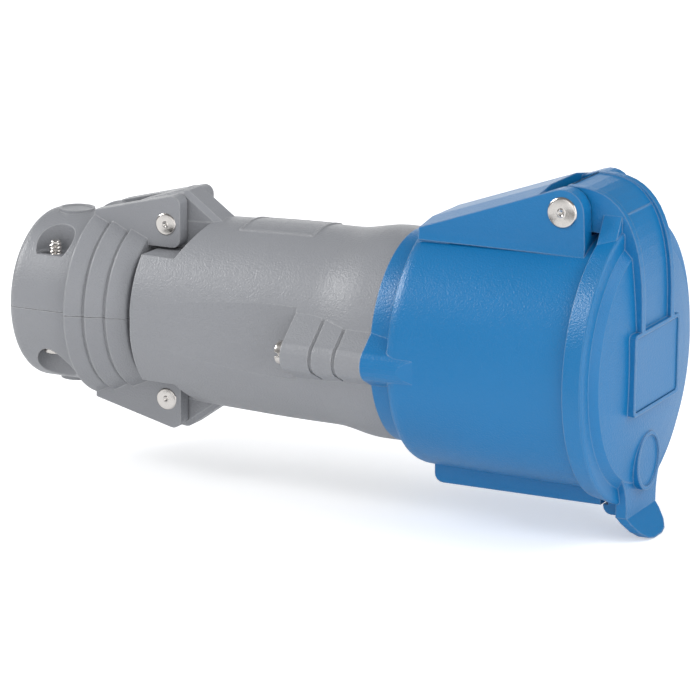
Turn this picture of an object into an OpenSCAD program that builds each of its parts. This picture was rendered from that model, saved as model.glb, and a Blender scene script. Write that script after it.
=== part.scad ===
// Trailing socket for a round three-pin industrial plug: a tapered handle with a
// hinged two-jaw cable clamp, and a front housing closed by a sprung lid.
// +X runs along the socket from the cable end to the lid, +Z points to the lid hinge.
// The origin is the centre of the cable entry.

/* [Cable clamp] */
// Radius of the tail barrel that the two jaws make together
tail_r = 23.2; // [21:0.1:26]
// Length of the tail barrel
tail_len = 19.2; // [17.4:0.1:22]
// Radius of the collar where it meets the tail barrel
collar_r = 26.3; // [25:0.1:28.5]
// Radius of the collar at its end near the handle
collar_end_r = 21.9; // [21:0.1:23.5]
// Length of the three-band collar
collar_len = 17; // [15.5:0.1:18]
// Radius of the bore of the cable seal
cable_r = 8; // [6:0.1:8.6]
// Height of a jaw pin above the socket's axis
jaw_pin_z = 24; // [23.5:0.1:25.5]
// Distance of the jaw pins from the cable entry
jaw_pin_x = 41.6; // [41.4:0.1:43.4]
// Radius of a jaw pin
jaw_pin_r = 2; // [1.6:0.1:2.4]
// Distance of a clamp screw from the socket's middle plane
clamp_screw_y = 15; // [14.4:0.1:16]
// Radius of a clamp screw's thread
clamp_screw_r = 1.75; // [1.5:0.05:2]

/* [Handle] */
// Radius of the handle at its rear rim
handle_rear_r = 24.6; // [24:0.1:25.6]
// Radius of the handle before its front flare
handle_waist_r = 26.3; // [25.9:0.1:27]
// Radius of the handle where it meets the front housing
handle_front_r = 28.2; // [27.4:0.1:28.8]
// Distance from the cable entry to the joint between handle and front housing
joint_x = 111.2; // [109.4:0.1:115.4]
// Wall thickness of the handle
handle_wall = 3; // [2.4:0.1:3.4]

/* [Front housing] */
// Radius of the housing at its front rim
housing_r = 33.9; // [33.2:0.1:34.6]
// Wall thickness of the housing round the opening that takes the plug's shroud
housing_wall = 4.65; // [4.3:0.05:5.3]
// Length of the housing from the joint to its front rim
housing_len = 58.6; // [56:0.1:62]
// Width of the hinge fairing on top of the housing
fairing_w = 32.6; // [31.8:0.1:34]
// Width of the hinge arm between the cheeks of the fairing
arm_w = 22.2; // [20.6:0.1:22.8]
// Width of the keyway rib under the housing
key_rib_w = 12.4; // [11:0.1:14]

/* [Lid] */
// How far the round lid stands out past the housing's front rim
lid_over = 3.1; // [2.7:0.1:5.1]
// Height of the lid's hinge pin above the housing's front rim
lid_pin_rise = 6.1; // [5.7:0.1:7.1]
// Radius of the lid's hinge pin
lid_pin_r = 2.4; // [2:0.1:2.6]
// Width of the label plate
label_w = 30.4; // [26:0.1:33]
// Height of the label plate
label_h = 21.3; // [18:0.1:23]
// Width of the finger tab
tab_w = 20; // [16:0.1:24]

/* [Contacts] */
// Distance of each contact from the socket's axis
contact_pitch_r = 11.8; // [11.4:0.1:12.4]
// Radius of the bore of the two line contacts
line_bore_r = 3.05; // [3:0.05:3.3]
// Radius of the bore of the earth contact
earth_bore_r = 4.05; // [4:0.05:4.3]

/* [Hidden] */
$fn = 64;

// Overrun of every cut
over = 1;
// Gap between parts that are assembled and stay still
fit_gap = 0.15;
// Gap between curved faces of parts that move past each other
move_gap = 0.35;
// Radial clearance of a pin in its bore
pin_gap = 0.05;

// Colours
grey = [0.58, 0.585, 0.6];
dark_grey = [0.3, 0.31, 0.32];
blue = [0.15, 0.46, 0.72];
nickel = [0.82, 0.81, 0.78];
brass = [0.78, 0.62, 0.3];
black = [0.12, 0.12, 0.13];

// Clamp: rounding of the tail's rear edge
tail_round_r = 3.2;
// Clamp: bore at the cable entry, and the grip ridges behind it
entry_gap = 1.6;
entry_r = cable_r + entry_gap;
ridge_gap = 0.5;
ridge_r = cable_r + ridge_gap;
ridge_count = 4;
ridge_pitch = 3.2;
// Clamp: crest and root of a grip ridge, as [share of the pitch, radius]
ridge_shares = [[0, ridge_r], [0.5, ridge_r], [0.65, entry_r], [0.85, entry_r]];
// Clamp: end of the collar and start of the handle's rear rim
collar_end_x = tail_len + collar_len;
rim_gap = 2.6;
rim_x = collar_end_x + rim_gap;
// Clamp: bands of the collar, with a groove between them
band_count = 3;
groove_w = 0.6;
groove_depth = 0.5;
collar_step = 0.3;
collar_edge_r = 0.8;
// Clamp: ears, their width over the outer faces and over the slot between them
ear_span = 19;
ear_slot = 10.6;
ear_top = 7.8;
ear_bottom = 6.2;
ear_front = 4.3;
ear_round_r = 2.4;
ear_start_x = tail_len + groove_w;
ear_start_z = 25.9;
// Clamp: half of the seam between the two jaws
seam_gap = 0.05;
// Clamp: the round pockets of the clamp screws
clamp_screw_x = 10.8;
pocket_r = 5.2;
upper_floor_z = 14.1;
lower_floor_z = 9;
clamp_head_r = 3.6;
clamp_head_h = 3;
clamp_tip_z = 17.6;
clamp_tip_r = 0.9;
// Clamp: room for the screw to lean as the jaws open
clamp_slot = 2.7;
// Clamp: plain raised discs on top and underneath
disc_x = 8.8;
disc_r = 4.9;
disc_rise = 0.5;
disc_rim = 0.8;

// Handle: rear barrel inside the jaws, its bore and the cable seal's seat
barrel_r = 14.4;
barrel_x = 24.9;
barrel_wall = 2.2;
seal_seat_x = 39.4;
// Handle: where the taper ends and the flare begins
waist_x = 92.4;
flare_end = 5;
flare_x = joint_x - flare_end;
// Handle: recess beside the lug, and its sloping front wall
recess_z = 17.1;
recess_x = 48.9;
recess_top_x = 53;
// Handle: lug between the ears
lug_w = 9.5;
lug_step = 0.25;
lug_left_x = 30;
lug_left_z = 28.2;
lug_apex_x = 44.6;
lug_apex_z = 33;
lug_right_x = 56;
lug_right_z = 24.8;
lug_thick = 2.6;
lug_chamfer = 1.3;
lug_round_r = 7;
// Handle: flat crest of the lug, cut across its two slopes
lug_crest_cut = 0.5;
lug_crest_z = lug_apex_z - lug_crest_cut;
// Handle: flat sides, screw bosses and their grooves
flat_y = 24.35;
flat_x = rim_x - over;
boss_x = 88.4;
boss_half = 9.6;
boss_root_y = flat_y - over;
boss_crest_y = 34.2;
boss_crest_r = 4.6;
boss_crest_z = -1.4;
boss_crest_angle = 62;
boss_groove_w = 1;
boss_groove_depth = 0.6;
boss_groove_pitch = 6.7;
boss_groove_count = 2;
boss_groove_x = 96.4;
// Handle: plain raised panel on top
panel_x = 63.1;
panel_len = 22;
panel_w = 17;
panel_rise = 0.35;
panel_rim = 0.6;
panel_sink = 0.2;
// Handle: where its cavity reaches its full width, and the spigot in the housing
cavity_x = recess_top_x + 2 * over;
spigot_len = 8;
spigot_r = 25.4;
spigot_wall = 3;

// Housing: opening for the plug's shroud, and the height of the lid's hinge pin
socket_r = housing_r - housing_wall;
lid_pin_z = housing_r + lid_pin_rise;
// Housing: ring behind the skirt, and the skirt's shoulder
housing_ring_len = 6.4;
skirt_x = joint_x + housing_ring_len;
ring_rise = 0.9;
ring_r = handle_front_r + ring_rise;
shoulder_r = 31.4;
shoulder_len = 3.4;
skirt_taper = 0.8;
skirt_r = housing_r - skirt_taper;
// Housing: front rim and its back wall
mouth_x = joint_x + housing_len;
back_wall = 3.2;
// Housing: hinge fairing
fairing_start = 1.5;
fairing_x = skirt_x + fairing_start;
fairing_slope = 19.4;
fairing_crown = 1.3;
fairing_flare_r = 6.6;
fairing_flare_angle = 55;
fairing_sink = 0.3;
cheek_r = 5.9;
lid_pin_back = 11.2;
lid_pin_x = mouth_x - lid_pin_back;
pocket_gap = 0.5;
fairing_end_x = lid_pin_x + cheek_r + pocket_gap;
// Housing: keyway in the bore and the rib over it
key_w = 8.4;
key_depth = 3.4;
key_rib_rise = 3.6;
key_rib_z = housing_r + key_rib_rise;
key_rib_round_r = 2.4;
key_rib_start = 2.2;
key_rib_x = skirt_x + key_rib_start;
// Housing: length over which the side lugs fade into the skirt
lug_fade = 6;

// Contacts: the insulating carrier
carrier_r = 22.8;
carrier_flange = 4.2;
carrier_recess = 4.2;
carrier_wall = 2;
carrier_face = 6;
carrier_x = joint_x + spigot_len + fit_gap;
carrier_front_x = mouth_x - carrier_recess;
back_wall_x = carrier_x + carrier_flange + fit_gap;
socket_floor_x = back_wall_x + back_wall;
// Contacts: sleeves and terminals
sleeve_wall = 1.3;
sleeve_inset = 3;
sleeve_len = 28;
sleeve_front_x = carrier_front_x - sleeve_inset;
sleeve_x = sleeve_front_x - sleeve_len;
sleeve_floor = 4;
collar_thick = 3.5;
terminal_len = 13;
terminal_x = carrier_x - terminal_len - over;
terminal_wall = 2.4;
terminal_screw_r = 2;
terminal_head_r = 2.6;
terminal_head_h = 1.8;
terminal_screw_inset = 6;
terminal_screw_x = terminal_x + terminal_screw_inset;
wire_r = 2.8;
wire_depth = 11;
slot_w = 0.9;
slot_len = 14;
ring_wall = 0.7;
ring_len = 4;
ring_inset = 3;
ring_x = sleeve_front_x - ring_inset - ring_len;
front_hole_gap = 0.35;
// Contacts: angles of line, neutral and earth round the axis, seen from the mouth
contact_angles = [150, 30, 270];

// Seals
seal_r = barrel_r - barrel_wall - fit_gap;
washer_len = 1.6;
seal_x = barrel_x + washer_len + fit_gap;
seal_ridge = 0.9;
seal_ridges = 4;
seal_shares = [[0.2, 0], [0.8, seal_ridge]];
gasket_h = 2;
gasket_gap = 0.2;
gasket_x = mouth_x + gasket_gap;
gasket_step = 0.3;
gasket_in_r = socket_r + gasket_step;
oring_r = 0.8;
oring_inset = 3;
oring_x = joint_x + oring_inset;

// Lid: side wall, flange, shoulder and dome
lid_r = housing_r + lid_over;
lid_lap = 2.1;
lid_wall_x = mouth_x - lid_lap;
lid_depth = 3.7;
lid_face_x = mouth_x + lid_depth;
lid_bore_gap = 0.5;
lid_bore_r = housing_r + lid_bore_gap;
lid_draft = 1;
lid_edge_r = 0.8;
shoulder_inset = 4;
shoulder_out_r = lid_r - shoulder_inset;
shoulder_w = 2;
shoulder_in_r = shoulder_out_r - shoulder_w;
shoulder_rise = 2.1;
dome_rise = 2.1;
dome_x = lid_face_x + shoulder_rise;
dome_top_x = dome_x + dome_rise;
lid_wall = 2.4;
// Lid: label frame and plain round disc
label_rim = 1;
label_lip = 0.35;
label_thick = 0.9;
label_rise = 1.1;
label_face_x = dome_top_x + label_rise;
label_z = -0.4;
label_corner_r = 1.4;
badge_inset = 11.2;
badge_z = badge_inset - lid_r;
badge_r = 7.7;
badge_rim = 1;
badge_drop = 0.4;
badge_x = dome_top_x - badge_drop;
badge_sink = 0.5;
// Lid: hinge arm
arm_knuckle_r = 5;
arm_top = 6;
roof_end_x = lid_pin_x - arm_top - pocket_gap;
arm_back = 0.8;
arm_rail_w = 2.3;
arm_channel = 1.2;
arm_bulge_share = 2 / 2.85;
arm_steps = 14;
arm_foot_z = label_z + label_h / 2;
arm_foot_x = label_face_x;
arm_wall = 3.4;
// Lid: webs between the arm's sides and the side wall
web_w = 4.6;
web_rise = 2.4;
web_z = lid_r + web_rise;
spring_room_r = 4.4;
// Lid: neck, tab and nose
neck_sink = 0.2;
neck_x = dome_x - neck_sink;
neck_len = 2.2;
neck_z = -lid_r - neck_len;
neck_thick = 3;
neck_flare_r = 14;
neck_flare_rise = 1.7;
neck_flare_z = neck_z + neck_flare_rise;
neck_flare_angle = 52;
tab_drop = 6.1;
tab_push = 5;
tab_round_r = 7.4;
nose_w = 7;
nose_thick = 3.1;
nose_z = key_rib_z + nose_thick;
nose_r = 2.2;
nose_reach = 1.4;
nose_x = lid_wall_x - nose_reach;

// Fasteners and pins
housing_screw_inset = 4.9;
housing_screw_y = boss_crest_y - housing_screw_inset;
housing_screw_r = 2;
housing_head_r = 3.1;
housing_head_h = 1.9;
housing_screw_reach = 1.6;
housing_screw_end_x = skirt_x + housing_screw_reach;
rivet_head_r = 4;
rivet_head_h = 0.7;
jaw_head_r = 3;
jaw_head_h = 0.5;
dish_sink = 0.3;
spring_wire = 1.3;
spring_wire_r = spring_wire / 2;
spring_turns = 10;
turn_shares = [[0, spring_wire_r], [0.3, spring_wire], [0.7, spring_wire]];

// Turn a shape from the Z axis on to the X axis
module along_x(x = 0) { translate([x, 0, 0]) rotate([0, 90, 0]) children(); }

// Revolve an outline of [distance along X, radius] points round the X axis
module lathe(points) {
    rotate([0, 90, 0]) rotate_extrude() polygon([for (p = points) [p[1], p[0]]]);
}

// A round bar along X, Y or Z
module bar_x(x0, x1, r) { along_x(x0) cylinder(h = x1 - x0, r = r); }
module bar_y(x, z, y0, y1, r) { translate([x, y1, z]) rotate([90, 0, 0]) cylinder(h = y1 - y0, r = r); }
module bar_z(x, y, z0, z1, r) { translate([x, y, z0]) cylinder(h = z1 - z0, r = r); }

// A slab whose side view is an XZ outline, from y0 to y1
module side_slab(points, y0, y1) {
    translate([0, y1, 0]) rotate([90, 0, 0]) linear_extrude(height = y1 - y0) polygon(points);
}

// A slab whose end view is a YZ outline, from x0 to x1
module end_slab(points, x0, x1) {
    translate([x0, 0, 0]) rotate([90, 0, 90]) linear_extrude(height = x1 - x0) polygon(points);
}

// A box from its low corner to its high corner
module block(low, high) { translate(low) cube(high - low); }

// Points of an arc about c, from angle a0 to angle a1
function arc(c, r, a0, a1, steps = 6) =
    [for (i = [0:steps]) c + r * [cos(a0 + (a1 - a0) * i / steps), sin(a0 + (a1 - a0) * i / steps)]];

// Outline of a rectangle with round corners, about c
function round_box(c, w, h, r) = concat(
    arc(c + [w / 2 - r, h / 2 - r], r, 0, 90, 4), arc(c + [r - w / 2, h / 2 - r], r, 90, 180, 4),
    arc(c + [r - w / 2, r - h / 2], r, 180, 270, 4), arc(c + [w / 2 - r, r - h / 2], r, 270, 360, 4));

// Smooth step from 0 to 1
function ease(t) = t <= 0 ? 0 : t >= 1 ? 1 : t * t * (3 - 2 * t);

// A shape and its mirror image, across the level middle plane or the upright one
module above_and_below() { children(); mirror([0, 0, 1]) children(); }
module both_sides() { children(); mirror([0, 1, 0]) children(); }

// Handle radius at a distance x from the cable entry: a slow taper and a front flare
function handle_r(x) = handle_rear_r
    + (handle_waist_r - handle_rear_r) * sin(90 * min(1, max(0, (x - rim_x) / (waist_x - rim_x))))
    + (handle_front_r - handle_waist_r) * ease((x - waist_x) / (flare_x - waist_x));

handle_xs = concat([for (i = [0:8]) rim_x + (waist_x - rim_x) * i / 8],
                   [for (i = [1:6]) waist_x + (flare_x - waist_x) * i / 6], [joint_x]);

module handle_skin(grow = 0) {
    lathe(concat([[rim_x, 0]], [for (x = handle_xs) [x, handle_r(x) + grow]], [[joint_x, 0]]));
}

// Section of a side boss: a trapezoid with a round crest, on the -Y side
function boss_section(grow = 0) = concat(
    [[-boss_root_y, -boss_half - grow]],
    arc([boss_crest_r - boss_crest_y, boss_crest_z], boss_crest_r + grow,
        180 + boss_crest_angle, 180 - boss_crest_angle, 8),
    [[-boss_root_y, boss_half + grow]]);

// Grooves across a side boss, from groove_x on
module boss_grooves() {
    for (i = [0:boss_groove_count - 1]) let (x = boss_groove_x + i * boss_groove_pitch)
        difference() {
            end_slab(boss_section(over), x, x + boss_groove_w);
            end_slab(boss_section(-boss_groove_depth), x - over, x + boss_groove_w + over);
        }
}

// Side view of the lug between the ears: a roof over the jaw pin
function lug_outline() = concat(
    [[lug_left_x, lug_left_z - lug_thick], [lug_left_x, lug_crest_z], [lug_right_x, lug_crest_z],
     [lug_right_x, seal_r], [rim_x, seal_r], [rim_x, recess_z]],
    arc([jaw_pin_x, jaw_pin_z], lug_round_r, 245, 165, 6));

// A lug with chamfered top edges on both slopes of its roof
module handle_lug() {
    intersection() {
        side_slab(lug_outline(), -lug_w / 2, lug_w / 2);
        lug_slope(lug_left_x, lug_left_z, -1);
        lug_slope(lug_right_x, lug_right_z, 1);
    }
}

// What lies under one slope of the roof: a prism through the apex and the slope's low end
module lug_slope(x, z, side) {
    half = lug_w / 2;
    section = [[-half, -2 * lug_apex_z], [half, -2 * lug_apex_z], [half, -lug_chamfer],
               [half - lug_chamfer, 0], [lug_chamfer - half, 0], [-half, -lug_chamfer]];
    translate([x, 0, z]) rotate([0, side * atan2(lug_apex_z - z, abs(lug_apex_x - x)), 0])
        end_slab(section, -lug_apex_x, lug_apex_x);
}

// Recess beside the lug, with a sloping front wall
module lug_recess() {
    side_slab([[rim_x - over, recess_z], [recess_x, recess_z], [recess_top_x, lug_right_z],
               [recess_top_x, lug_apex_z], [rim_x - over, lug_apex_z]],
              lug_w / 2 + lug_step, handle_front_r);
}

module handle() {
    groove_r = spigot_r - 2 * oring_r;
    spigot_in_r = spigot_r - spigot_wall;
    spigot_end_x = joint_x + spigot_len;
    color(grey) difference() {
        union() {
            difference() {
                handle_skin();
                above_and_below() both_sides() lug_recess();
                // Flat sides behind the screw bosses
                both_sides() block([flat_x, flat_y, -boss_half], [boss_x, boss_crest_y, boss_half]);
            }
            above_and_below() handle_lug();
            // Rear barrel that the jaws close round
            bar_x(barrel_x, rim_x + over, barrel_r);
            // Side bosses for the housing screws
            both_sides() difference() {
                end_slab(boss_section(), boss_x, joint_x);
                boss_grooves();
            }
            // Raised plain panel on top, with a rim
            difference() {
                intersection() {
                    handle_skin(panel_rise);
                    block([panel_x, -panel_w / 2, 0], [panel_x + panel_len, panel_w / 2, boss_crest_y]);
                }
                intersection() {
                    difference() { handle_skin(over); handle_skin(panel_rise - panel_sink); }
                    block([panel_x + panel_rim, panel_rim - panel_w / 2, 0],
                          [panel_x + panel_len - panel_rim, panel_w / 2 - panel_rim, boss_crest_y]);
                }
            }
            // Spigot that enters the front housing, with a seat for the seal ring
            difference() {
                bar_x(joint_x - over, spigot_end_x, spigot_r);
                lathe([[oring_x - oring_r, groove_r], [oring_x + oring_r, groove_r],
                       [oring_x + oring_r, spigot_r + over], [oring_x - oring_r, spigot_r + over]]);
            }
        }
        // Seat of the cable seal, opening into the cavity for wires and terminals
        lathe([[barrel_x - over, 0], [barrel_x - over, seal_r + fit_gap], [seal_seat_x, seal_r + fit_gap],
               [seal_seat_x, entry_r], [seal_seat_x + barrel_wall, entry_r], [recess_x, seal_r],
               [recess_x, 0]]);
        // Cavity for the wires and the terminals, with flat sides behind the flats
        intersection() {
            lathe(concat([[recess_x - over, 0], [recess_x - over, seal_r]],
                         [for (x = handle_xs) if (x > cavity_x && x < joint_x - handle_wall)
                             [x, handle_r(x) - handle_wall]],
                         [[joint_x, spigot_in_r], [spigot_end_x + over, spigot_in_r],
                          [spigot_end_x + over, 0]]));
            union() {
                block([0, handle_wall - flat_y, -spigot_r],
                      [mouth_x, flat_y - handle_wall, spigot_r]);
                bar_x(boss_x + handle_wall, mouth_x, spigot_r);
            }
        }
        // Bores of the jaw pins and of the housing screws
        above_and_below() bar_y(jaw_pin_x, jaw_pin_z, -lug_w, lug_w, jaw_pin_r + pin_gap);
        both_sides() translate([0, housing_screw_y, boss_crest_z])
            bar_x(boss_x - over, joint_x + over, housing_screw_r + fit_gap);
    }
}

// Outer skin of the front housing: ring, rounded shoulder and slightly tapered skirt
module housing_skin() {
    lathe(concat(
        [[joint_x, 0], [joint_x, handle_front_r], [skirt_x, ring_r]],
        [for (i = [0:5]) [skirt_x + shoulder_len * (1 - cos(18 * i)),
                          shoulder_r + (skirt_r - shoulder_r) * sin(18 * i)]],
        [[mouth_x, housing_r], [mouth_x, 0]]));
}

// Side view of the hinge fairing: a slope up to the round ends of the cheeks
function fairing_outline() = let (
        top_x = lid_pin_x - cheek_r * sin(fairing_slope),
        top_z = lid_pin_z + cheek_r * cos(fairing_slope),
        rear_z = top_z - (top_x - fairing_x) * tan(fairing_slope))
    concat([[fairing_x, socket_r], [fairing_x, rear_z]],
           arc([lid_pin_x, lid_pin_z], cheek_r, 90 + fairing_slope, 0, 8),
           [[fairing_end_x, socket_r]]);

// End view of the fairing: upright cheeks that flare on to the round housing
function fairing_side(s) = let (
        edge_y = fairing_w / 2 + fairing_flare_r * (1 - cos(fairing_flare_angle)),
        edge_z = sqrt(pow(skirt_r, 2) - pow(edge_y, 2)) - fairing_sink,
        c = [fairing_w / 2 + fairing_flare_r, edge_z + fairing_flare_r * sin(fairing_flare_angle)])
    [for (p = arc(c, fairing_flare_r, 180, 180 + fairing_flare_angle, 6)) [s * p[0], p[1]]];

module fairing() {
    top_x = lid_pin_x - cheek_r * sin(fairing_slope);
    top_z = lid_pin_z + cheek_r * cos(fairing_slope);
    right = fairing_side(1);
    left = fairing_side(-1);
    last = len(right) - 1;
    half = fairing_w / 2;
    intersection() {
        union() {
            side_slab(fairing_outline(), -housing_r, housing_r);
            // The roof has a flat crown between two facets, up to the hinge pocket
            intersection() {
                translate([top_x, 0, top_z]) rotate([0, -fairing_slope, 0])
                    end_slab([[-half, -cheek_r], [half, -cheek_r], [half, 0], [half / 2, fairing_crown],
                              [-half / 2, fairing_crown], [-half, 0]], 2 * (fairing_x - lid_pin_x), 0);
                block([fairing_x, -fairing_w, 0], [roof_end_x, fairing_w, 2 * lid_pin_z]);
            }
        }
        end_slab(concat([[0, 0]], [for (i = [0:last]) right[last - i]],
                        [[half, 2 * lid_pin_z], [-half, 2 * lid_pin_z]], left),
                 fairing_x, fairing_end_x);
    }
}

// Keyway rib under the housing, with round lower corners
module key_rib() {
    front_x = lid_wall_x - 2 * pocket_gap;
    corner = [key_rib_x + key_rib_round_r, key_rib_round_r - key_rib_z];
    side_slab(concat([[front_x, -socket_r], [front_x, -key_rib_z]],
                     arc(corner, key_rib_round_r, 270, 180, 4), [[key_rib_x, -socket_r]]),
              -key_rib_w / 2, key_rib_w / 2);
}

module front_housing() {
    pocket_y = arm_w / 2 + pocket_gap;
    color(blue) difference() {
        union() {
            housing_skin();
            fairing();
            key_rib();
            // Lugs that carry the side bosses on to the housing and fade into its skirt
            both_sides() intersection() {
                end_slab(boss_section(), joint_x, skirt_x + shoulder_len + lug_fade);
                lathe([[joint_x - over, 0], [joint_x - over, 2 * skirt_r], [skirt_x, boss_crest_y + over],
                       [skirt_x + shoulder_len + lug_fade, skirt_r - fairing_sink],
                       [skirt_x + shoulder_len + lug_fade, 0]]);
            }
        }
        // Seat of the spigot and the carrier's flange, the carrier's hole and the socket
        lathe([[joint_x - over, 0], [joint_x - over, spigot_r + fit_gap], [back_wall_x, spigot_r + fit_gap],
               [back_wall_x, carrier_r + fit_gap], [socket_floor_x, carrier_r + fit_gap],
               [socket_floor_x, socket_r], [mouth_x + over, socket_r], [mouth_x + over, 0]]);
        // Keyway in the socket's wall
        block([socket_floor_x, -key_w / 2, -socket_r - key_depth], [mouth_x + over, key_w / 2, 0]);
        // Pocket between the cheeks for the lid's hinge arm
        bar_y(lid_pin_x, lid_pin_z, -pocket_y, pocket_y, arm_top + pocket_gap);
        block([roof_end_x, -pocket_y, lid_pin_z], [mouth_x, pocket_y, 2 * lid_pin_z]);
        block([lid_pin_x, -pocket_y, housing_r], [mouth_x + over, pocket_y, 2 * lid_pin_z]);
        // Bores of the hinge pin and of the housing screws
        bar_y(lid_pin_x, lid_pin_z, -fairing_w, fairing_w, lid_pin_r + pin_gap);
        both_sides() translate([0, housing_screw_y, boss_crest_z])
            bar_x(joint_x - over, housing_screw_end_x + fit_gap, housing_screw_r + fit_gap);
    }
}

// Seal ring in the groove of the spigot
module housing_seal() {
    color(black) rotate([0, 90, 0]) rotate_extrude()
        translate([spigot_r - oring_r + fit_gap, oring_x]) circle(r = oring_r - fit_gap / 2, $fn = 24);
}

// Dished head of a screw or a rivet, about Z, standing on the plane z = 0
module dished_head(r, h) {
    difference() {
        rotate_extrude() polygon([[0, 0], [r, 0], [r, h / 2], [r - h / 2, h], [0, h]]);
        translate([0, 0, h - dish_sink]) cylinder(h = over, r = r / 2);
    }
}

module housing_screws() {
    color(nickel) both_sides() translate([boss_x, housing_screw_y, boss_crest_z]) {
        bar_x(0, housing_screw_end_x - boss_x, housing_screw_r);
        rotate([0, -90, 0]) dished_head(housing_head_r, housing_head_h);
    }
}

// Radius of each contact's bore and the angle at which it stands
line_contact = [line_bore_r, contact_angles[0]];
neutral_side = [line_bore_r, contact_angles[1]];
earth_side = [earth_bore_r, contact_angles[2]];
contact_set = [line_contact, neutral_side, earth_side];

// Radius of the chamber round a contact's sleeve and its spring ring
function chamber_r(c) = c[0] + sleeve_wall + ring_wall + 2 * fit_gap;

// Move a shape on the X axis to a contact's place, its top pointing outwards
module at_contact(angle) {
    rotate([angle - 90, 0, 0]) translate([0, 0, contact_pitch_r]) children();
}

module contact_carrier() {
    color(dark_grey) difference() {
        union() {
            bar_x(carrier_x, back_wall_x - fit_gap, spigot_r);
            bar_x(back_wall_x - over, carrier_front_x, carrier_r);
        }
        for (c = contact_set) at_contact(c[1]) {
            // Chamber of the sleeve, open to the back, and the hole for the plug's pin
            bar_x(carrier_x - over, sleeve_front_x, chamber_r(c));
            bar_x(sleeve_front_x - over, carrier_front_x + over, c[0] + front_hole_gap);
        }
        // Hollow behind the front face, round the tubes of the contacts
        difference() {
            bar_x(carrier_x - over, carrier_front_x - carrier_face, carrier_r - carrier_wall);
            for (c = contact_set) at_contact(c[1])
                bar_x(carrier_x - 2 * over, carrier_front_x, chamber_r(c) + carrier_wall);
        }
    }
}

// A slotted sleeve with its stem, and the terminal block behind the carrier
module contact(c) {
    sleeve_r = c[0] + sleeve_wall;
    block_r = sleeve_r + terminal_wall / 2;
    color(brass) at_contact(c[1]) difference() {
        union() {
            bar_x(sleeve_x, sleeve_front_x - fit_gap, sleeve_r);
            bar_x(terminal_x + terminal_len - over, sleeve_x + over, c[0]);
            bar_x(terminal_x, terminal_x + terminal_len, block_r);
            // Collar that centres the contact in its chamber
            bar_x(carrier_x + fit_gap, carrier_x + collar_thick, chamber_r(c) - fit_gap);
        }
        bar_x(sleeve_x + sleeve_floor, sleeve_front_x + over, c[0]);
        // Slots that let the sleeve grip the pin
        for (a = [0, 90]) rotate([a, 0, 0])
            block([sleeve_front_x - slot_len, -slot_w / 2, -block_r],
                  [sleeve_front_x + over, slot_w / 2, block_r]);
        // Hole for the wire and the threaded hole of its screw
        bar_x(terminal_x - over, terminal_x + wire_depth, wire_r);
        bar_z(terminal_screw_x, 0, 0, block_r + over, terminal_screw_r + fit_gap);
    }
}

module phase_contact() { contact(line_contact); }
module neutral_contact() { contact(neutral_side); }
module earth_contact() { contact(earth_side); }

// Spring rings that squeeze the slotted sleeves
module contact_rings() {
    color(nickel) for (c = contact_set) at_contact(c[1]) difference() {
        bar_x(ring_x, ring_x + ring_len, c[0] + sleeve_wall + ring_wall + fit_gap);
        bar_x(ring_x - over, ring_x + ring_len + over, c[0] + sleeve_wall + fit_gap / 2);
    }
}

module terminal_screws() {
    color(nickel) for (c = contact_set) at_contact(c[1]) {
        top = c[0] + sleeve_wall + terminal_wall / 2;
        bar_z(terminal_screw_x, 0, fit_gap, top + over, terminal_screw_r);
        translate([terminal_screw_x, 0, top + fit_gap]) dished_head(terminal_head_r, terminal_head_h);
    }
}

// Rubber sleeve with ridges inside, squeezed round the cable
module cable_seal() {
    pitch = (seal_seat_x - seal_x) / seal_ridges;
    bore = concat([[seal_x, cable_r + seal_ridge]],
        [for (i = [0:seal_ridges - 1]) for (p = seal_shares)
            [seal_x + pitch * (i + p[0]), cable_r + p[1]]]);
    color(black) lathe(concat(bore, [[seal_seat_x - fit_gap, cable_r], [seal_seat_x - fit_gap, seal_r],
                                     [seal_x, seal_r]]));
}

module gland_washer() {
    color(dark_grey) lathe([[barrel_x, entry_r], [barrel_x + washer_len, entry_r],
                            [barrel_x + washer_len, seal_r], [barrel_x, seal_r]]);
}

// Tail barrel with a rounded rear edge
module tail() {
    lathe(concat([[0, 0]], arc([tail_round_r, tail_r - tail_round_r], tail_round_r, 180, 90, 6),
                 [[tail_len + over, tail_r], [tail_len + over, 0]]));
}

// Collar of three bands that step down in radius towards the handle
module collar() {
    band = collar_len / band_count;
    for (i = [0:band_count - 1]) let (
            x0 = tail_len + i * band,
            x1 = x0 + band - (i < band_count - 1 ? groove_w : 0),
            r0 = collar_r + (collar_end_r - collar_r) * i / band_count + (i > 0 ? collar_step : 0),
            r1 = collar_r + (collar_end_r - collar_r) * (i + 1) / band_count)
        lathe(concat([[x0, 0]], arc([x0 + collar_edge_r, r0 - collar_edge_r], collar_edge_r, 180, 100, 3),
                     arc([x1 - collar_edge_r, r1 - collar_edge_r], collar_edge_r, 70, 0, 3), [[x1, 0]]));
    lathe([[tail_len, 0], [tail_len, collar_r - groove_depth - collar_step],
           [collar_end_x, collar_end_r - groove_depth - collar_step], [collar_end_x, 0]]);
}

// Side view of an ear: from the collar's first band to round corners in front of the pin
function ear_outline() = let (
        top = jaw_pin_z + ear_top,
        low = jaw_pin_z - ear_bottom,
        front = jaw_pin_x + ear_front)
    concat([[ear_start_x, collar_end_r - ear_bottom], [ear_start_x, ear_start_z]],
           arc([front - ear_round_r, top - ear_round_r], ear_round_r, 104, 0, 6),
           arc([front - ear_round_r, low + ear_round_r], ear_round_r, 0, -90, 4),
           [[collar_end_x - over, low]]);

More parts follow.
